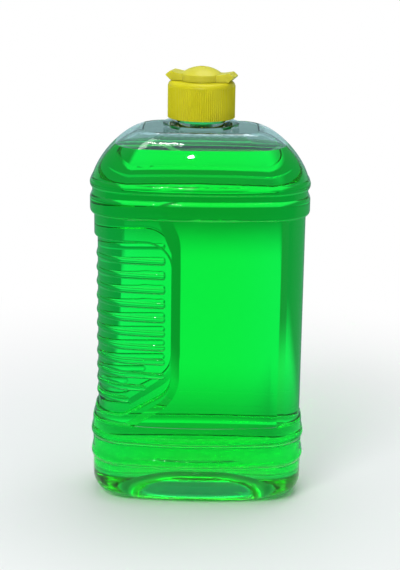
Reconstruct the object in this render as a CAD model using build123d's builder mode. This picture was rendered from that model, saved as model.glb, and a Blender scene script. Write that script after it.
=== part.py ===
from build123d import *
import math
import os

os.makedirs("parts", exist_ok=True)

# A flat PET bottle of green cologne with a ribbed hand grip and a yellow push-pull closure.
# Millimetres, +Z up, the label face looks towards -Y and the grip is on the -X side.

# Plan section of the body
BODY_W = 107.0
BODY_D = 54.0
CORNER_R = 21.0
FACE_R = 220.0
WALL = 0.7
LIQUID_GAP = 0.08

# Heights of the zones, from the table up
BASE_H = 42.5
PANEL_H = 102.5
BAND_H = 10.6
SHOULDER_H = 26.4
NECK_H = 19.3
FILL_H = 18.6

# Beads and rims
HEEL_R = 10.0
BEAD_HALF_H = 3.8
BEAD_PITCH = 11.4
MID_BEAD_DROP = 9.1
GROOVE_H = 1.6
BAND_EDGE_R = 2.6
PANEL_EDGE_R = 2.0

# How far each zone lies inside the full plan section, and how far the label panel stands off the plain one
BEAD_IN = 0.0
GROOVE_IN = 1.1
LOW_IN = 0.9
SHOULDER_IN = 0.5
PANEL_IN = 2.0
LABEL_STEP = 1.2
GRIP_IN = 3.6
LABEL_IN = PANEL_IN - LABEL_STEP

# Shoulder: half sizes of the flat top, corner radius there, and the roundness of the slope
PLATFORM_HALF_W = 28.0
PLATFORM_HALF_D = 19.5
PLATFORM_CORNER_R = 10.0
SHOULDER_POWER = 1.5
SHOULDER_STEPS = 7

# Levels that follow from the heights
PANEL_Z0 = BASE_H
PANEL_Z1 = PANEL_Z0 + PANEL_H
BAND_Z1 = PANEL_Z1 + BAND_H
TOP_BEAD_Z = BAND_Z1 + GROOVE_H + BEAD_HALF_H - 0.6
SHOULDER_Z0 = TOP_BEAD_Z
PLATFORM_Z = SHOULDER_Z0 + SHOULDER_H
NECK_TOP_Z = PLATFORM_Z + NECK_H
LIQUID_Z = SHOULDER_Z0 + FILL_H
MID_BEAD_Z = PANEL_Z0 - MID_BEAD_DROP
LOW_BEAD_Z = MID_BEAD_Z - BEAD_PITCH

# Ribbed grip, measured from the side of the body
GRIP_FOOT = 4.1
GRIP_HEAD = 11.0
GRIP_REACH = 40.5
GRIP_SLANT_REACH = 16.5
GRIP_SLANT_RISE = 13.9
GRIP_BEND_R = 13.0
GRIP_STEP_R = 1.3
RIB_PITCH = 7.2
RIB_R = 2.7
RIB_SINK = 2.05
RIB_INDENT = 4.5
RIB_FOOT = 20.6
RIB_HEAD = 8.0
SHORT_RIB_PITCH = 6.5
SHORT_RIB_INDENT = 13.5
SHORT_RIB_ROOM = 0.01
BOW_SPREAD = (CORNER_R - BODY_W / 2) / (FACE_R - CORNER_R)
RIB_BOW_END_X = BOW_SPREAD * (FACE_R - GRIP_IN - RIB_SINK)
GRIP_END_X = GRIP_REACH - BODY_W / 2
GRIP_SLANT_X = GRIP_SLANT_REACH - BODY_W / 2
SHORT_RIB_ENDS = (GRIP_END_X - SHORT_RIB_INDENT, RIB_BOW_END_X + SHORT_RIB_ROOM)
GRIP_Z0 = PANEL_Z0 + GRIP_FOOT
GRIP_Z1 = PANEL_Z1 - GRIP_HEAD
RIB_Z0 = GRIP_Z0 + RIB_FOOT
RIB_COUNT = int((GRIP_Z1 - RIB_HEAD - RIB_Z0) / RIB_PITCH) + 1

# Raised label panel, seen from the front: bent round the grip, its foot short of the end of the bowed face
LABEL_MARGIN = 10.5
LABEL_GAP = 0.1
LABEL_TOP_LAP = 8.0
LABEL_FOOT_ROOM = 0.8
LABEL_BEND_R = 18.0
LABEL_BEND_DROP = 18.0
LABEL_FOOT_RISE = 16.0
LABEL_SLOPE_W = 4.0
LABEL_SLOPE_SINK = 0.25
LABEL_SLOPE_H = LABEL_STEP + LABEL_SLOPE_SINK
LABEL_RIGHT_X = BODY_W / 2 - LABEL_MARGIN
LABEL_LEFT_X = GRIP_END_X + LABEL_GAP
LABEL_TOP_X = GRIP_END_X - LABEL_TOP_LAP
LABEL_FOOT_X = BOW_SPREAD * (FACE_R - LABEL_IN) + LABEL_FOOT_ROOM

# Pushed-up base: width of the standing ring, the top of the hollow and the gate mark there
PUSH_H = 10.0
PUSH_RING = 12.4
PUSH_TOP_HALF_W = 9.0
PUSH_TOP_HALF_D = 4.5
PUSH_TOP_CORNER_R = 4.0
PUSH_STEPS = 5
GATE_R = 2.4
GATE_H = 0.9
PUSH_CORNER_R = CORNER_R - PUSH_RING

# Neck, 28 mm screw finish
NECK_R = 12.9
BORE_R = 10.8
NECK_RING_R = 18.4
NECK_RING_T = 1.3
NECK_RING_LIFT = 0.9
NECK_RING_LIP = 1.8

# Closure
CAP_WALL = 1.9
THREAD_ROOM = 1.4
FLUTE_COUNT = 96
FLUTE_DEPTH = 0.3
SKIRT_H = 15.3
RIM_H = 2.1
RIM_W = 2.3
DECK_T = 1.8
SEAL_T = 1.1
SEAL_CLEARANCE = 0.7
SEAL_LIP = 1.2
CHIMNEY_R = 5.0
CHIMNEY_WALL = 1.4
CHIMNEY_H = 4.6
PIN_R = 1.6
PIN_STAND = 1.6
SPOKE_W = 1.2
CAP_BORE_R = NECK_R + THREAD_ROOM
CAP_R = CAP_BORE_R + CAP_WALL
SEAL_R = CAP_BORE_R - SEAL_CLEARANCE
SEAL_BORE_R = BORE_R - SEAL_LIP
DECK_Z0 = NECK_TOP_Z + SEAL_T
DECK_Z = DECK_Z0 + DECK_T
RIM_Z = DECK_Z - RIM_H
CAP_Z0 = RIM_Z - SKIRT_H
CHIMNEY_Z = DECK_Z + CHIMNEY_H
CHIMNEY_BORE_R = CHIMNEY_R - CHIMNEY_WALL
PIN_Z = CHIMNEY_Z + PIN_STAND

# Push-pull top with two wings
TOP_CLEARANCE = 0.2
PIN_CLEARANCE = 0.15
DOME_R = 9.8
DOME_SIDE_H = 3.2
DOME_CROWN_H = 2.0
WING_TURN = -15.0
WING_REACH = 17.0
WING_FOOT_X = 14.2
WING_TIP_X = 14.6
WING_TIP_HALF_W = 4.3
WING_ROOT_HALF_W = 5.4
WING_NOSE_H = 2.4
WING_H = 3.4
WING_TIP_H = 4.3
WING_EDGE_R = 0.5
TOP_Z0 = DECK_Z + TOP_CLEARANCE
TOP_BORE_R = CHIMNEY_R + TOP_CLEARANCE
TOP_BORE_Z = CHIMNEY_Z + TOP_CLEARANCE
DOME_EDGE_Z = TOP_Z0 + DOME_SIDE_H
DOME_Z = TOP_BORE_Z + DOME_CROWN_H
ORIFICE_R = PIN_R + PIN_CLEARANCE


UPRIGHT = (Align.CENTER, Align.CENTER, Align.MIN)


def bowed_outline(half_w, half_d, corner_r, face_r):
    """Closed outline in the XY plane: bowed front and back, straight sides, round corners.

    It starts at the middle of the +X side and is tangent all the way round.
    """
    face_y = face_r - half_d
    corner_x = half_w - corner_r
    corner_y = math.sqrt((face_r - corner_r) ** 2 - corner_x**2) - face_y
    lean = math.degrees(math.asin(corner_x / (face_r - corner_r)))
    turn = 90 - lean
    Line((half_w, 0), (half_w, corner_y))
    CenterArc((corner_x, corner_y), corner_r, 0, turn)
    CenterArc((0, -face_y), face_r, turn, 2 * lean)
    CenterArc((-corner_x, corner_y), corner_r, 90 + lean, turn)
    Line((-half_w, corner_y), (-half_w, -corner_y))
    CenterArc((-corner_x, -corner_y), corner_r, 180, turn)
    CenterArc((0, face_y), face_r, 270 - lean, 2 * lean)
    CenterArc((corner_x, -corner_y), corner_r, 270 + lean, turn)
    Line((half_w, -corner_y), (half_w, 0))


def body_outline(inset):
    """The body's plan section moved inwards by inset."""
    bowed_outline(BODY_W / 2 - inset, BODY_D / 2 - inset, CORNER_R - inset, FACE_R - inset)


def body_prism(inset, z0, z1):
    """Straight prism of the body's plan section."""
    with BuildPart() as prism:
        with BuildSketch(Plane.XY.offset(z0)):
            with BuildLine():
                body_outline(inset)
            make_face()
        extrude(amount=z1 - z0)
    return prism.part


def rounded_plate(inset, z0, z1, lower_r, upper_r):
    """Prism of the body's plan section with its lower and upper rims rounded."""
    with BuildPart() as plate:
        add(body_prism(inset, z0, z1))
        if lower_r:
            fillet(plate.faces().sort_by(Axis.Z)[0].edges(), lower_r)
        if upper_r:
            fillet(plate.faces().sort_by(Axis.Z)[-1].edges(), upper_r)
    return plate.part


def bead(z, skin):
    """One round bead right round the body."""
    half = BEAD_HALF_H - skin
    return rounded_plate(BEAD_IN + skin, z - half, z + half, half - 0.1, half - 0.1)


def base_band(skin):
    """Heel, two beads and the lower edge of the panel."""
    with BuildPart() as band:
        add(rounded_plate(LOW_IN + skin, skin, PANEL_Z0 - skin, HEEL_R - skin, PANEL_EDGE_R - skin))
        add(bead(LOW_BEAD_Z, skin))
        add(bead(MID_BEAD_Z, skin))
    return band.part


def upper_band(skin):
    """Upper edge of the panel and the two beads below the shoulder."""
    edge_r = BAND_EDGE_R - skin
    with BuildPart() as band:
        add(body_prism(GROOVE_IN + skin, BAND_Z1 - edge_r - skin, SHOULDER_Z0))
        add(rounded_plate(BEAD_IN + skin, PANEL_Z1 + skin, BAND_Z1 - skin, edge_r, edge_r))
        add(bead(TOP_BEAD_Z, skin))
    return band.part


def shoulder(skin):
    """Rounded shoulder from the upper band to the flat top."""
    top = PLATFORM_Z - skin
    with BuildPart() as hood:
        for step in range(SHOULDER_STEPS + 1):
            angle = math.radians(90 * step / SHOULDER_STEPS)
            rise = math.sin(angle) ** (2 / SHOULDER_POWER)
            reach = max(math.cos(angle), 0.0) ** (2 / SHOULDER_POWER)
            half_w = PLATFORM_HALF_W + (BODY_W / 2 - SHOULDER_IN - PLATFORM_HALF_W) * reach - skin
            half_d = PLATFORM_HALF_D + (BODY_D / 2 - SHOULDER_IN - PLATFORM_HALF_D) * reach - skin
            corner = PLATFORM_CORNER_R + (CORNER_R - PLATFORM_CORNER_R) * reach - skin
            with BuildSketch(Plane.XY.offset(SHOULDER_Z0 + (top - SHOULDER_Z0) * rise)):
                with BuildLine():
                    bowed_outline(half_w, half_d, corner, FACE_R)
                make_face()
        loft()
    return hood.part


def label_shape(skin):
    """Front view of the raised label panel: straight at the right, bent round the grip at the left."""
    low = PANEL_Z0 - 2
    high = PANEL_Z1 + 2
    with BuildSketch(Plane.XZ) as view:
        with BuildLine() as edge:
            Polyline(
                (LABEL_RIGHT_X, low),
                (LABEL_RIGHT_X, high),
                (LABEL_TOP_X, high),
                (LABEL_LEFT_X, PANEL_Z1 - LABEL_BEND_DROP),
                (LABEL_LEFT_X, PANEL_Z0 + LABEL_FOOT_RISE),
                (LABEL_FOOT_X, PANEL_Z0 + 1),
                (LABEL_FOOT_X, low),
                close=True,
            )
            bends = edge.vertices().filter_by(lambda corner: abs(corner.X - LABEL_LEFT_X) < 0.01)
            fillet(bends, LABEL_BEND_R)
        make_face()
        if skin:
            offset(amount=-skin)
    return view.sketch


def grip_shape(skin):
    """Front view of the hand grip, a hollow that runs round the -X side."""
    left = -BODY_W
    with BuildSketch(Plane.XZ) as view:
        with BuildLine() as edge:
            Polyline(
                (left, GRIP_Z1),
                (GRIP_END_X, GRIP_Z1),
                (GRIP_END_X, GRIP_Z0 + GRIP_SLANT_RISE),
                (GRIP_SLANT_X, GRIP_Z0),
                (left, GRIP_Z0),
                close=True,
            )
            fillet(edge.vertices().filter_by(lambda corner: corner.X > left), GRIP_BEND_R)
        make_face()
        if skin:
            offset(amount=skin)
    return view.sketch


def grip_rim(edges, skin):
    """The edges of the grip cut that lie on the skin of the panel, without the upright seams."""
    across = edges.filter_by(Axis.Z, reverse=True)
    side = across.filter_by(lambda edge: edge.center().X < PANEL_IN + skin + 0.1 - BODY_W / 2)
    faces = across.filter_by(Axis.Y, reverse=True).filter_by(lambda edge: abs(edge.center().Y) > 1)
    ends = edges.filter_by(Axis.Z).filter_by(lambda edge: edge.center().X > GRIP_END_X - 1)
    return side + faces + ends


def label_rim(edges, facing, right):
    """The edges at one end of the label panel, on the front (facing -1) or the back (facing 1)."""
    faces = edges.filter_by(Axis.Y, reverse=True).filter_by(lambda edge: edge.center().Y * facing > 1)
    panel = faces.filter_by(lambda edge: PANEL_Z0 - 1 < edge.center().Z < PANEL_Z1 + 1)
    if right:
        return panel.filter_by(lambda edge: edge.center().X > LABEL_RIGHT_X - WALL - 0.5)
    return panel.filter_by(lambda edge: LABEL_FOOT_X + 2 < edge.center().X < LABEL_LEFT_X + WALL + 0.5)


def slope_label(label, facing, right):
    """Slopes one end of the label panel down to the plain panel, on the front or the back."""
    skins = label.faces().filter_by(GeomType.CYLINDER).filter_by(lambda face: face.center().Y * facing > 1)
    skin = skins.sort_by(Axis.X)[-1] if right else skins.sort_by(SortBy.AREA)[-1]
    chamfer(label_rim(label.edges(), facing, right), LABEL_SLOPE_W, LABEL_SLOPE_H, reference=skin)


def grip_rib(z, end_x):
    """Half-round rib that runs round the -X side from the front to the back."""
    inset = GRIP_IN + RIB_SINK
    half_w = BODY_W / 2 - inset
    corner_r = CORNER_R - inset
    face_r = FACE_R - inset
    face_y = face_r - (BODY_D / 2 - inset)
    corner_x = half_w - corner_r
    corner_y = math.sqrt((face_r - corner_r) ** 2 - corner_x**2) - face_y
    lean = math.degrees(math.asin(corner_x / (face_r - corner_r)))
    turn = 90 - lean
    end_lean = math.degrees(math.asin(-end_x / face_r))
    end_y = face_r * math.cos(math.radians(end_lean)) - face_y
    with BuildPart() as rib:
        with BuildLine(Plane.XY.offset(z)) as path:
            CenterArc((0, -face_y), face_r, 90 + end_lean, lean - end_lean)
            CenterArc((-corner_x, corner_y), corner_r, 90 + lean, turn)
            Line((-half_w, corner_y), (-half_w, -corner_y))
            CenterArc((-corner_x, -corner_y), corner_r, 180, turn)
            CenterArc((0, face_y), face_r, 270 - lean, lean - end_lean)
        wire = path.wire()
        with BuildSketch(Plane(origin=wire @ 0, z_dir=wire % 0)):
            Circle(RIB_R)
        sweep(path=wire)
        with Locations((end_x, end_y, z), (end_x, -end_y, z)):
            Sphere(RIB_R)
    return rib.part


def push_up(skin):
    """The domed hollow under the base."""
    with BuildPart() as hollow:
        for step in range(PUSH_STEPS + 1):
            angle = math.radians(90 * step / PUSH_STEPS)
            reach = max(math.cos(angle), 0.0)
            half_w = PUSH_TOP_HALF_W + (BODY_W / 2 - PUSH_RING - PUSH_TOP_HALF_W) * reach + skin
            half_d = PUSH_TOP_HALF_D + (BODY_D / 2 - PUSH_RING - PUSH_TOP_HALF_D) * reach + skin
            corner = PUSH_TOP_CORNER_R + (PUSH_CORNER_R - PUSH_TOP_CORNER_R) * reach + skin
            with BuildSketch(Plane.XY.offset((PUSH_H + skin) * math.sin(angle) ** 2)):
                with BuildLine():
                    bowed_outline(half_w, half_d, corner, FACE_R)
                make_face()
        loft()
    return hollow.part


def bottle_form(skin, ribs):
    """The whole bottle as a solid form, with every face moved inwards by skin."""
    with BuildPart() as form:
        add(base_band(skin))
        add(upper_band(skin))
        add(shoulder(skin))
        add(body_prism(GRIP_IN + skin, PANEL_Z0 - 1, PANEL_Z1 + 1))
        with BuildPart(mode=Mode.PRIVATE) as plain:
            add(body_prism(PANEL_IN + skin, PANEL_Z0 - 2, PANEL_Z1 + 2))
            extrude(grip_shape(skin), amount=BODY_D, both=True, mode=Mode.SUBTRACT)
            fillet(grip_rim(plain.edges(Select.LAST), skin), GRIP_STEP_R)
        add(plain.part)
        with BuildPart(mode=Mode.PRIVATE) as label:
            add(body_prism(LABEL_IN + skin, PANEL_Z0 - 2, PANEL_Z1 + 2))
            extrude(label_shape(skin), amount=BODY_D, both=True, mode=Mode.INTERSECT)
            for facing in (-1, 1):
                slope_label(label, facing, False)
                slope_label(label, facing, True)
        add(label.part)
        if ribs:
            for index in range(RIB_COUNT):
                add(grip_rib(RIB_Z0 + RIB_PITCH * index, GRIP_END_X - RIB_INDENT))
            for index, end_x in enumerate(SHORT_RIB_ENDS):
                add(grip_rib(RIB_Z0 - SHORT_RIB_PITCH * (index + 1), end_x))
        add(push_up(skin), mode=Mode.SUBTRACT)
    return form.part


def neck_form():
    """Outside of the neck: root, ring and plain cylinder that carries the thread."""
    with BuildPart() as neck:
        with BuildSketch(Plane.XZ):
            with BuildLine():
                ring_z0 = PLATFORM_Z + NECK_RING_LIFT
                ring_z1 = ring_z0 + NECK_RING_T
                root_r = NECK_RING_R - NECK_RING_LIP
                Polyline(
                    (0, PLATFORM_Z - WALL),
                    (root_r, PLATFORM_Z - WALL),
                    (root_r, ring_z0 - NECK_RING_LIP / 4),
                    (NECK_RING_R, ring_z0),
                    (NECK_RING_R, ring_z1),
                    (NECK_R + 0.8, ring_z1 + 1.2),
                    (NECK_R, ring_z1 + 2.2),
                    (NECK_R, NECK_TOP_Z),
                    (0, NECK_TOP_Z),
                    close=True,
                )
            make_face()
        revolve(axis=Axis.Z)
    return neck.part


# Bottle shell
with BuildPart() as bottle:
    add(bottle_form(0.0, True))
    add(neck_form())
    add(bottle_form(WALL, False), mode=Mode.SUBTRACT)
    with Locations((0, 0, PLATFORM_Z - 2 * WALL)):
        Cylinder(BORE_R, NECK_H + 3 * WALL, align=UPRIGHT, mode=Mode.SUBTRACT)
    with Locations((0, 0, PUSH_H - GATE_H)):
        Cylinder(GATE_R, GATE_H + WALL / 2, align=UPRIGHT)
bottle.part.label = "bottle"
bottle.part.color = Color(0.86, 0.92, 0.94, 0.35)

# Cologne up to the shoulder
with BuildPart() as liquid:
    add(bottle_form(WALL + LIQUID_GAP, False))
    with Locations((0, 0, LIQUID_Z)):
        Box(2 * BODY_W, 2 * BODY_W, PLATFORM_Z, align=UPRIGHT, mode=Mode.SUBTRACT)
liquid.part.label = "liquid"
liquid.part.color = Color(0.05, 0.80, 0.20, 0.8)

# Sealing ring between the neck rim and the closure
with BuildPart() as cap_seal:
    with BuildSketch(Plane.XY.offset(NECK_TOP_Z)):
        Circle(SEAL_R)
        Circle(SEAL_BORE_R, mode=Mode.SUBTRACT)
    extrude(amount=SEAL_T)
cap_seal.part.label = "cap_seal"
cap_seal.part.color = Color(0.93, 0.93, 0.90)

# Screw closure
with BuildPart() as cap_body:
    flute_points = []
    for index in range(2 * FLUTE_COUNT):
        radius = CAP_R - FLUTE_DEPTH * (index % 2)
        angle = math.pi * index / FLUTE_COUNT
        flute_points.append((radius * math.cos(angle), radius * math.sin(angle)))
    with BuildSketch(Plane.XY.offset(CAP_Z0)):
        Polygon(*flute_points, align=None)
    extrude(amount=SKIRT_H)
    with BuildSketch(Plane.XZ):
        with BuildLine():
            rim_r = CAP_R - FLUTE_DEPTH / 2
            edge_r = CAP_R - RIM_W
            edge_mid_r = edge_r + (rim_r - edge_r) * math.sqrt(0.5)
            edge_mid_z = RIM_Z + RIM_H * math.sqrt(0.5)
            Polyline((0, DECK_Z), (0, RIM_Z - 0.5), (rim_r, RIM_Z - 0.5), (rim_r, RIM_Z))
            ThreePointArc((rim_r, RIM_Z), (edge_mid_r, edge_mid_z), (edge_r, DECK_Z))
            Line((edge_r, DECK_Z), (0, DECK_Z))
        make_face()
    revolve(axis=Axis.Z)
    with Locations((0, 0, CAP_Z0)):
        Cylinder(CAP_BORE_R, DECK_Z0 - CAP_Z0, align=UPRIGHT, mode=Mode.SUBTRACT)
    with Locations((0, 0, DECK_Z0)):
        Cylinder(CHIMNEY_R, CHIMNEY_Z - DECK_Z0, align=UPRIGHT)
        Cylinder(CHIMNEY_BORE_R, CHIMNEY_Z - DECK_Z0, align=UPRIGHT, mode=Mode.SUBTRACT)
        Cylinder(PIN_R, PIN_Z - DECK_Z0, align=UPRIGHT)
    with PolarLocations((PIN_R + CHIMNEY_BORE_R) / 2, 3):
        with Locations((0, 0, DECK_Z0)):
            Box(CHIMNEY_BORE_R - PIN_R + 1, SPOKE_W, DECK_T, align=UPRIGHT)
cap_body.part.label = "cap_body"
cap_body.part.color = Color(0.85, 0.80, 0.12)

# Push-pull top: low dome with two wings that lift at their tips
with BuildPart() as pull_top:
    with BuildPart(mode=Mode.PRIVATE) as wings:
        with BuildSketch(Plane.XZ):
            with BuildLine():
                Polyline(
                    (0, TOP_Z0),
                    (WING_FOOT_X, TOP_Z0),
                    (WING_REACH, TOP_Z0 + WING_NOSE_H),
                    (WING_TIP_X, TOP_Z0 + WING_TIP_H),
                    (DOME_R, TOP_Z0 + WING_H),
                    (0, TOP_Z0 + WING_H),
                    close=True,
                )
            make_face()
        extrude(amount=WING_ROOT_HALF_W, both=True)
        fillet(wings.edges().filter_by(Axis.Y).group_by(Axis.X)[-1], WING_EDGE_R)
        with BuildSketch(Plane.XY.offset(TOP_Z0)):
            with BuildLine():
                Polyline(
                    (0, -WING_ROOT_HALF_W),
                    (DOME_R, -WING_ROOT_HALF_W),
                    (WING_REACH + 1, -WING_TIP_HALF_W),
                    (WING_REACH + 1, WING_TIP_HALF_W),
                    (DOME_R, WING_ROOT_HALF_W),
                    (0, WING_ROOT_HALF_W),
                    close=True,
                )
            make_face()
        extrude(amount=2 * WING_TIP_H, mode=Mode.INTERSECT)
        mirror(about=Plane.YZ)
    with Locations(Location((0, 0, 0), (0, 0, WING_TURN))):
        add(wings.part)
    with BuildSketch(Plane.XZ):
        with BuildLine():
            crown_z = DOME_EDGE_Z + (DOME_Z - DOME_EDGE_Z) * 0.67
            Polyline((0, DOME_Z), (0, TOP_Z0), (DOME_R, TOP_Z0), (DOME_R, DOME_EDGE_Z))
            ThreePointArc((DOME_R, DOME_EDGE_Z), (DOME_R * 0.62, crown_z), (0, DOME_Z))
        make_face()
    revolve(axis=Axis.Z)
    with Locations((0, 0, TOP_Z0)):
        Cylinder(TOP_BORE_R, TOP_BORE_Z - TOP_Z0, align=UPRIGHT, mode=Mode.SUBTRACT)
        Cylinder(ORIFICE_R, DOME_Z - TOP_Z0 + 1, align=UPRIGHT, mode=Mode.SUBTRACT)
pull_top.part.label = "pull_top"
pull_top.part.color = Color(0.88, 0.85, 0.35)

pieces = [bottle.part, liquid.part, cap_seal.part, cap_body.part, pull_top.part]
for piece in pieces:
    export_step(piece, f"parts/{piece.label}.step")
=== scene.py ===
import math

import bmesh
import bpy
from mathutils import Matrix, Vector
from mathutils.bvhtree import BVHTree


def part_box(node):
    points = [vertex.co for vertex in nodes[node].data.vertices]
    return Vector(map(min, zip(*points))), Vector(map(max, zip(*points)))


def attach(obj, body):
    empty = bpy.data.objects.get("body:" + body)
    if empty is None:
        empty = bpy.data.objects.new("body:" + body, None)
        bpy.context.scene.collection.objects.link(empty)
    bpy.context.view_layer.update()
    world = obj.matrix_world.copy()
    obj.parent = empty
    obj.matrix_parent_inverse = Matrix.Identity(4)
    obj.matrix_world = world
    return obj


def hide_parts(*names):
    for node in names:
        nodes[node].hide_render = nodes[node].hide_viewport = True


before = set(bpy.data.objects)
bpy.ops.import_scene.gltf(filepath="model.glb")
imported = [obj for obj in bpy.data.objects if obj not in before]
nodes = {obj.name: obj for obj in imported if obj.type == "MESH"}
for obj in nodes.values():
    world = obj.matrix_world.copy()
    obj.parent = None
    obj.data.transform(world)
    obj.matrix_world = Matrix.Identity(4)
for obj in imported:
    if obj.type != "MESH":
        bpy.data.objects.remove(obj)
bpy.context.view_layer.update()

# Image frame and camera, taken from the photo's perspective
IMAGE_W = 400
FOCAL_PX = 1466.0
SENSOR_W = 36.0
CLIP_START = 0.01
CAMERA_AT = (0.0051, -0.7000, 0.3060)
CAMERA_TARGET = (0.0005, 0.0, 0.1075)
CAMERA_ROLL = math.radians(0.78)

# The drawn cologne reaches this far into the wall, and wall faces this near to it count as wet
LIQUID_PUSH = 0.0003
WET_REACH = 0.0003

# The free surface is drawn this far above the cologne, so that the two don't share a plane
FILM_LIFT = 0.00002

# Points nearer than this are one point
WELD = 0.000002

# The layer that keeps the CAD solid's normals, and the bend that is sharp on a piece without it
NOTED_NORMALS = "noted_normals"
SHARP_ANGLE = math.radians(38)

# Refractive indices. The wall and the cologne it holds count as one medium.
WALL_IOR = 1.44
SURFACE_IOR = 1.38
WETTED_IOR = 1.0

# Clear wall, and the colour and strength of the cologne
WHITE = (1.0, 1.0, 1.0)
WALL_TINT = (0.94, 0.98, 0.98)
WALL_ROUGHNESS = 0.015
COLOGNE_COLOUR = (0.0, 0.985, 0.56)
COLOGNE_DENSITY = 130.0

# Moulded plastics: the darker and the lighter colour of their clouding, and their shared gloss
LINER_DARK = (0.80, 0.80, 0.76)
LINER_LIGHT = (0.86, 0.86, 0.82)
CAP_DARK = (0.54, 0.49, 0.006)
CAP_LIGHT = (0.62, 0.57, 0.010)
TOP_DARK = (0.56, 0.52, 0.03)
TOP_LIGHT = (0.63, 0.59, 0.05)
CLOUD_START = 0.3
CLOUD_END = 0.7
PLASTIC_SPECULAR = 0.2
PLASTIC_SUBSURFACE = 0.4
PLASTIC_SUBSURFACE_RADIUS = (0.003, 0.003, 0.0006)

# Neck thread, 28 mm single start. The profile gives places along the neck and out from it.
THREAD_R = 0.0129
THREAD_H = 0.0009
THREAD_HALF_W = 0.0011
THREAD_LEAD = 0.00423
THREAD_TURNS = 1.6
THREAD_Z0 = 0.1965
THREAD_STEPS = 72
THREAD_PROFILE = ((-1.0, -0.05), (-0.35, 1.0), (0.35, 1.0), (1.0, -0.05))

# The ridge fades out over one eighth of its length at each end
THREAD_FADE = 8

# Floor as lamps light it
FLOOR_SIZE = 8.0
FLOOR_DROP = 0.0002
FLOOR_COLOUR = (0.80, 0.81, 0.81)
FLOOR_ROUGHNESS = 0.9

# Distances from the bottle's axis over which the floor turns white for the camera, and takes on the
# colours that gloss and glass show
CAMERA_FADE = (0.07, 0.36)
GLASS_FADE = (0.06, 0.10)

# Floor as gloss and glass show it, glowing with painted light: two plain colours, darker in front, and
# a painted pool of light behind the bottle
FLOOR_FRONT = (0.08, 0.18, 0.18)
FLOOR_BACK = (0.22, 0.37, 0.36)
FRONT_TO_BACK_Y = (-0.25, 0.05)
PAINTED_POOL_NEAR_Y = (0.05, 0.22)
PAINTED_POOL_FAR_Y = (0.64, 0.46)
PAINTED_POOL_LEFT_X = (-0.09, -0.035)
PAINTED_POOL_RIGHT_X = (0.035, 0.012)

# World as gloss and glass show it, with the directions between which its colours change
WORLD_SIDES = (0.18, 0.34, 0.36)
WORLD_BACK = (0.42, 0.64, 0.68)
WORLD_MIDDLE = (0.18, 0.27, 0.28)
WORLD_ABOVE = (0.38, 0.56, 0.66)
SIDES_TO_BACK_Y = (0.05, 0.75)
MIDDLE_Z = (0.08, 0.20)
ABOVE_Z = (0.38, 0.65)

# Soft light from all round
WORLD_LIGHT = (0.95, 0.98, 1.0)
WORLD_LIGHT_STRENGTH = 0.50

# Points on the bottle's axis that the lamps are aimed at
BODY_POINT = (0, 0, 0.12)
UPPER_BODY_POINT = (0, 0, 0.15)
SHOULDER_POINT = (0, 0, 0.18)

# Colour sockets of a Mix node, by number because its sockets share their names
MIX_FIRST = 6
MIX_SECOND = 7
MIX_RESULT = 2

scene = bpy.context.scene
scene.view_settings.view_transform = "Standard"

# Enough bounces for light that is caught inside clear walls
scene.cycles.max_bounces = 24
scene.cycles.glossy_bounces = 20
scene.cycles.transmission_bounces = 24


# Node helpers

def feed(tree, value, socket):
    """Sets a colour socket to plain values, or links it to another socket."""
    if isinstance(value, tuple):
        socket.default_value = (*value, 1)
    else:
        tree.links.new(value, socket)


def combine(tree, operation, first, second):
    """Two sockets put together by a Math node."""
    node = tree.nodes.new("ShaderNodeMath")
    node.operation = operation
    tree.links.new(first, node.inputs[0])
    tree.links.new(second, node.inputs[1])
    return node.outputs["Value"]


def times(tree, first, second):
    """Product of two sockets."""
    return combine(tree, "MULTIPLY", first, second)


def glass_rays(tree, path):
    """1 for the rays that show surroundings in gloss and through glass."""
    return combine(tree, "MAXIMUM", path.outputs["Is Glossy Ray"], path.outputs["Is Transmission Ray"])


def smooth_step(tree, source, span):
    """Goes smoothly from 0 at the first end of the span to 1 at the second."""
    step = tree.nodes.new("ShaderNodeMapRange")
    step.interpolation_type = "SMOOTHSTEP"
    step.inputs["From Min"].default_value = span[0]
    step.inputs["From Max"].default_value = span[1]
    tree.links.new(source, step.inputs["Value"])
    return step.outputs["Result"]


def mix_colour(tree, factor, first, second):
    """Blend of two colours, each a socket or plain values."""
    mix = tree.nodes.new("ShaderNodeMix")
    mix.data_type = "RGBA"
    tree.links.new(factor, mix.inputs["Factor"])
    feed(tree, first, mix.inputs[MIX_FIRST])
    feed(tree, second, mix.inputs[MIX_SECOND])
    return mix.outputs[MIX_RESULT]


def mix_shader(tree, factor, first, second):
    """Blend of two shaders."""
    mix = tree.nodes.new("ShaderNodeMixShader")
    tree.links.new(factor, mix.inputs["Fac"])
    tree.links.new(first, mix.inputs[1])
    tree.links.new(second, mix.inputs[2])
    return mix.outputs["Shader"]


def emission(tree, colour):
    """Light of one colour, at the strength that shows it as written."""
    node = tree.nodes.new("ShaderNodeEmission")
    feed(tree, colour, node.inputs["Color"])
    return node.outputs["Emission"]


def background(tree, colour, strength=1.0):
    """World light of one colour."""
    node = tree.nodes.new("ShaderNodeBackground")
    feed(tree, colour, node.inputs["Color"])
    node.inputs["Strength"].default_value = strength
    return node.outputs["Background"]


def add_noise(tree, coords, scale, detail):
    """Noise in object space."""
    noise = tree.nodes.new("ShaderNodeTexNoise")
    noise.inputs["Scale"].default_value = scale
    noise.inputs["Detail"].default_value = detail
    tree.links.new(coords.outputs["Object"], noise.inputs["Vector"])
    return noise


def add_bump(tree, coords, shader, scale, detail, strength, distance):
    """Slightly uneven surface from a noise in object space."""
    noise = add_noise(tree, coords, scale, detail)
    bump = tree.nodes.new("ShaderNodeBump")
    bump.inputs["Strength"].default_value = strength
    bump.inputs["Distance"].default_value = distance
    tree.links.new(noise.outputs["Fac"], bump.inputs["Height"])
    tree.links.new(bump.outputs["Normal"], shader.inputs["Normal"])


# Materials

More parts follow.
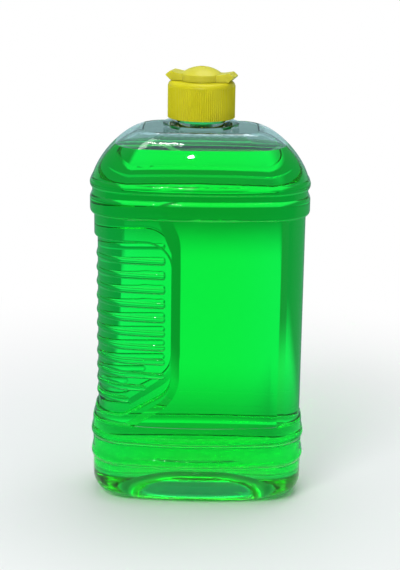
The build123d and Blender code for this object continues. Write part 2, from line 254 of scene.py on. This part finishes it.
def new_material(name):
    """A material of one Principled shader, with its node tree."""
    material = bpy.data.materials.new(name)
    material.use_nodes = True
    tree = material.node_tree
    tree.nodes.clear()
    output = tree.nodes.new("ShaderNodeOutputMaterial")
    shader = tree.nodes.new("ShaderNodeBsdfPrincipled")
    tree.links.new(shader.outputs["BSDF"], output.inputs["Surface"])
    return material, tree, shader


def to_output(tree, value, socket):
    """Links a shader or volume to the material's output."""
    tree.links.new(value, tree.get_output_node("ALL").inputs[socket])


def clear_medium(name, ior, colour=WHITE, roughness=0.0):
    """A clear material that bends light by its index."""
    material, tree, shader = new_material(name)
    shader.inputs["Base Color"].default_value = (*colour, 1)
    shader.inputs["Roughness"].default_value = roughness
    shader.inputs["IOR"].default_value = ior
    shader.inputs["Transmission Weight"].default_value = 1.0
    return material, tree, shader


def clear_plastic():
    """Clear blown PET with the slight waviness of a thin blown wall."""
    material, tree, shader = clear_medium("clear_pet", WALL_IOR, WALL_TINT, WALL_ROUGHNESS)
    coords = tree.nodes.new("ShaderNodeTexCoord")
    add_bump(tree, coords, shader, scale=45.0, detail=2.0, strength=0.10, distance=0.0006)
    return material


def wetted_wall():
    """The inside of the wall where the cologne wets it, which cannot be seen."""
    return clear_medium("clear_pet_wet", WETTED_IOR)[0]


def green_liquid():
    """Green cologne, coloured only by its depth. Its index is the one against the wall it wets."""
    material = clear_medium("green_cologne", WETTED_IOR)[0]
    tree = material.node_tree
    absorb = tree.nodes.new("ShaderNodeVolumeAbsorption")
    absorb.inputs["Color"].default_value = (*COLOGNE_COLOUR, 1)
    absorb.inputs["Density"].default_value = COLOGNE_DENSITY
    to_output(tree, absorb.outputs["Volume"], "Volume")
    return material


def liquid_surface():
    """The free surface of the cologne under the shoulder."""
    return clear_medium("green_cologne_surface", SURFACE_IOR)[0]


def moulded_plastic(name, dark, light, roughness):
    """Slightly translucent moulded plastic with faint flow clouding."""
    material, tree, shader = new_material(name)
    coords = tree.nodes.new("ShaderNodeTexCoord")
    add_bump(tree, coords, shader, scale=900.0, detail=3.0, strength=0.06, distance=0.0002)
    cloud = add_noise(tree, coords, scale=120.0, detail=4.0)
    ramp = tree.nodes.new("ShaderNodeValToRGB")
    first, last = ramp.color_ramp.elements
    first.position = CLOUD_START
    first.color = (*dark, 1)
    last.position = CLOUD_END
    last.color = (*light, 1)
    tree.links.new(cloud.outputs["Fac"], ramp.inputs["Fac"])
    tree.links.new(ramp.outputs["Color"], shader.inputs["Base Color"])
    shader.inputs["Roughness"].default_value = roughness
    shader.inputs["Specular IOR Level"].default_value = PLASTIC_SPECULAR
    shader.inputs["Subsurface Weight"].default_value = PLASTIC_SUBSURFACE
    shader.inputs["Subsurface Radius"].default_value = PLASTIC_SUBSURFACE_RADIUS
    shader.inputs["Subsurface Scale"].default_value = 1.0
    return material


def painted_floor_light(tree, place):
    """Painted light of the floor in gloss and through glass: it glows darker in front and paler behind,
    with a painted pool of light behind the bottle.
    """
    x = place.outputs["X"]
    y = place.outputs["Y"]
    # Painted pool of light on the floor behind the bottle, a white patch bounded in Y and X
    painted_pool_y = times(tree, smooth_step(tree, y, PAINTED_POOL_NEAR_Y), smooth_step(tree, y, PAINTED_POOL_FAR_Y))
    painted_pool_x = times(tree, smooth_step(tree, x, PAINTED_POOL_LEFT_X), smooth_step(tree, x, PAINTED_POOL_RIGHT_X))
    plain = mix_colour(tree, smooth_step(tree, y, FRONT_TO_BACK_Y), FLOOR_FRONT, FLOOR_BACK)
    return mix_colour(tree, times(tree, painted_pool_y, painted_pool_x), plain, WHITE)


def pale_floor():
    """Pale floor that keeps the bottle's shadow and fades to white for the camera. In gloss and through
    glass it glows with painted light away from the bottle.
    """
    material, tree, shader = new_material("pale_floor")
    shader.inputs["Base Color"].default_value = (*FLOOR_COLOUR, 1)
    shader.inputs["Roughness"].default_value = FLOOR_ROUGHNESS
    coords = tree.nodes.new("ShaderNodeTexCoord")
    place = tree.nodes.new("ShaderNodeSeparateXYZ")
    tree.links.new(coords.outputs["Object"], place.inputs["Vector"])
    length = tree.nodes.new("ShaderNodeVectorMath")
    length.operation = "LENGTH"
    tree.links.new(coords.outputs["Object"], length.inputs[0])
    distance = length.outputs["Value"]
    path = tree.nodes.new("ShaderNodeLightPath")

    for_camera = times(tree, smooth_step(tree, distance, CAMERA_FADE), path.outputs["Is Camera Ray"])
    for_glass = times(tree, smooth_step(tree, distance, GLASS_FADE), glass_rays(tree, path))
    direct = mix_shader(tree, for_camera, shader.outputs["BSDF"], emission(tree, WHITE))
    # In gloss and through glass the floor away from the bottle glows with painted light in place of its
    # lit colour
    seen = mix_shader(tree, for_glass, direct, emission(tree, painted_floor_light(tree, place)))
    to_output(tree, seen, "Surface")
    return material


# Pieces

def add_object(name, data):
    """Puts a mesh, lamp or camera into the scene."""
    thing = bpy.data.objects.new(name, data)
    bpy.context.collection.objects.link(thing)
    return thing


def dress(node, material):
    """Gives a CAD node one material."""
    piece = nodes[node]
    piece.data.materials.clear()
    piece.data.materials.append(material)


def node_mesh(node):
    """A working copy of a CAD node's mesh with its seams welded and its surface normals noted."""
    source = nodes[node].data
    mesh = bmesh.new()
    mesh.from_mesh(source)
    noted = mesh.loops.layers.float_vector.new(NOTED_NORMALS)
    for face, polygon in zip(mesh.faces, source.polygons):
        for loop, corner in zip(face.loops, polygon.loop_indices):
            loop[noted] = source.corner_normals[corner].vector
    bmesh.ops.remove_doubles(mesh, verts=mesh.verts, dist=WELD)
    mesh.normal_update()
    return mesh


def add_piece(mesh, name, materials, body):
    """Makes a piece of a working mesh, with its noted normals or else smooth up to sharp edges."""
    data = bpy.data.meshes.new(name)
    mesh.to_mesh(data)
    mesh.free()
    data.shade_smooth()
    noted = data.attributes.get(NOTED_NORMALS)
    if noted is None:
        data.set_sharp_from_angle(angle=SHARP_ANGLE)
    else:
        normals = [Vector(corner.vector).normalized() for corner in noted.data]
        data.attributes.remove(noted)
        data.normals_split_custom_set(normals)
    for material in materials:
        data.materials.append(material)
    piece = add_object(name, data)
    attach(piece, body)
    return piece


def wetted_bottle(shell, wet):
    """The bottle with the inside of its wall told apart where the cologne wets it."""
    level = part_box("liquid")[1][2]
    mesh = node_mesh("bottle")
    everything = mesh.verts[:] + mesh.edges[:] + mesh.faces[:]
    bmesh.ops.bisect_plane(mesh, geom=everything, plane_co=(0, 0, level), plane_no=(0, 0, 1), dist=WELD)
    cologne = node_mesh("liquid")
    nearest = BVHTree.FromBMesh(cologne)
    cologne.free()
    for face in mesh.faces:
        centre = face.calc_center_median()
        near = nearest.find_nearest(centre, WET_REACH)[0]
        face.material_index = 1 if near is not None and centre.z < level else 0
    piece = add_piece(mesh, "bottle_shell", (shell, wet), "bottle_body")
    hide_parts("bottle")


def wetting_cologne(body, surface):
    """The cologne pushed out into the wall, so that no air is left, with its free surface on top."""
    mesh = node_mesh("liquid")
    level = max(vertex.co.z for vertex in mesh.verts)
    pushes = [(vertex, LIQUID_PUSH * vertex.normal) for vertex in mesh.verts]
    for vertex, push in pushes:
        if vertex.co.z > level - WELD:
            push.z = 0
        vertex.co += push
    top = [face for face in mesh.faces if min(vertex.co.z for vertex in face.verts) > level - WELD]
    film = bmesh.ops.duplicate(mesh, geom=top)["geom"]
    for part in film:
        if isinstance(part, bmesh.types.BMVert):
            part.co.z += FILM_LIFT
        if isinstance(part, bmesh.types.BMFace):
            part.material_index = 1
    piece = add_piece(mesh, "cologne", (body, surface), "bottle_body")
    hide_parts("liquid")


def thread_ring(mesh, turn):
    """The corners of the thread's profile at one share of its length."""
    angle = 2 * math.pi * THREAD_TURNS * turn
    fade = min(1.0, THREAD_FADE * turn, THREAD_FADE * (1 - turn))
    ring = []
    for along, out in THREAD_PROFILE:
        radius = THREAD_R + THREAD_H * (out * fade if out > 0 else out)
        z = THREAD_Z0 + THREAD_LEAD * THREAD_TURNS * turn + along * THREAD_HALF_W
        ring.append(mesh.verts.new((radius * math.cos(angle), radius * math.sin(angle), z)))
    return ring


def neck_thread(material):
    """Helical ridge on the neck, tapering to nothing at both ends."""
    steps = int(THREAD_TURNS * THREAD_STEPS)
    mesh = bmesh.new()
    rings = [thread_ring(mesh, step / steps) for step in range(steps + 1)]
    corners = len(THREAD_PROFILE)
    for first, second in zip(rings, rings[1:]):
        for index in range(corners):
            other = (index + 1) % corners
            mesh.faces.new((first[index], first[other], second[other], second[index]))
    mesh.faces.new(rings[0])
    mesh.faces.new(list(reversed(rings[-1])))
    bmesh.ops.recalc_face_normals(mesh, faces=mesh.faces)
    add_piece(mesh, "neck_thread", (material,), "bottle_body")


# Floor, world, lamps and camera

def make_floor():
    """The floor just under the bottle."""
    bpy.ops.mesh.primitive_plane_add(size=FLOOR_SIZE, location=(0, 0, -FLOOR_DROP))
    floor = bpy.context.object
    floor.name = "floor"
    floor.data.materials.append(pale_floor())


def make_world():
    """White to the camera. In gloss and through glass paler behind the bottle than at its sides."""
    world = bpy.data.worlds.new("studio")
    scene.world = world
    world.use_nodes = True
    tree = world.node_tree
    tree.nodes.clear()
    output = tree.nodes.new("ShaderNodeOutputWorld")
    coords = tree.nodes.new("ShaderNodeTexCoord")
    split = tree.nodes.new("ShaderNodeSeparateXYZ")
    tree.links.new(coords.outputs["Generated"], split.inputs["Vector"])
    y = split.outputs["Y"]
    z = split.outputs["Z"]
    around = mix_colour(tree, smooth_step(tree, y, SIDES_TO_BACK_Y), WORLD_SIDES, WORLD_BACK)
    walls = mix_colour(tree, smooth_step(tree, z, MIDDLE_Z), around, WORLD_MIDDLE)
    studio = mix_colour(tree, smooth_step(tree, z, ABOVE_Z), walls, WORLD_ABOVE)

    light = background(tree, WORLD_LIGHT, WORLD_LIGHT_STRENGTH)
    path = tree.nodes.new("ShaderNodeLightPath")
    indirect = mix_shader(tree, glass_rays(tree, path), light, background(tree, studio))
    seen = mix_shader(tree, path.outputs["Is Camera Ray"], indirect, background(tree, WHITE))
    tree.links.new(seen, output.inputs["Surface"])


def facing(place, target):
    """Turn of a lamp or camera that looks from one point to another."""
    return (Vector(target) - Vector(place)).to_track_quat("-Z", "Y")


def area_light(name, place, target, width, height, power):
    """Soft light aimed at a point."""
    data = bpy.data.lights.new(name, "AREA")
    data.shape = "RECTANGLE"
    data.size = width
    data.size_y = height
    data.energy = power
    lamp = add_object(name, data)
    lamp.location = place
    lamp.rotation_euler = facing(place, target).to_euler()
    return lamp


def make_lights():
    """Soft light from the front and above, and two small lamps for the highlights."""
    key = area_light("key", (-0.5, -0.9, 0.9), BODY_POINT, width=0.45, height=0.45, power=6.5)
    key.visible_glossy = False
    flash = area_light("flash", (-0.05, -0.85, 0.45), BODY_POINT, width=0.014, height=0.014, power=3.5)
    flash.visible_diffuse = False
    area_light("strip", (-0.17, -0.85, 0.70), SHOULDER_POINT, width=0.16, height=0.02, power=0.8)
    area_light("top", (0.1, 0.2, 1.2), UPPER_BODY_POINT, width=0.7, height=0.7, power=6.0)


def make_camera():
    """Camera at the photo's viewing angle."""
    data = bpy.data.cameras.new("camera")
    data.sensor_fit = "HORIZONTAL"
    data.sensor_width = SENSOR_W
    data.lens = SENSOR_W * FOCAL_PX / IMAGE_W
    data.clip_start = CLIP_START
    camera = add_object("camera", data)
    turn = facing(CAMERA_AT, CAMERA_TARGET).to_matrix().to_4x4()
    roll = Matrix.Rotation(CAMERA_ROLL, 4, "Z")
    camera.matrix_world = Matrix.Translation(CAMERA_AT) @ turn @ roll
    scene.camera = camera


pet = clear_plastic()
wetted_bottle(pet, wetted_wall())
wetting_cologne(green_liquid(), liquid_surface())
neck_thread(pet)
dress("cap_seal", moulded_plastic("liner", LINER_DARK, LINER_LIGHT, roughness=0.6))
dress("cap_body", moulded_plastic("yellow_cap", CAP_DARK, CAP_LIGHT, roughness=0.38))
dress("pull_top", moulded_plastic("yellow_top", TOP_DARK, TOP_LIGHT, roughness=0.33))

make_floor()
make_world()
make_lights()
make_camera()
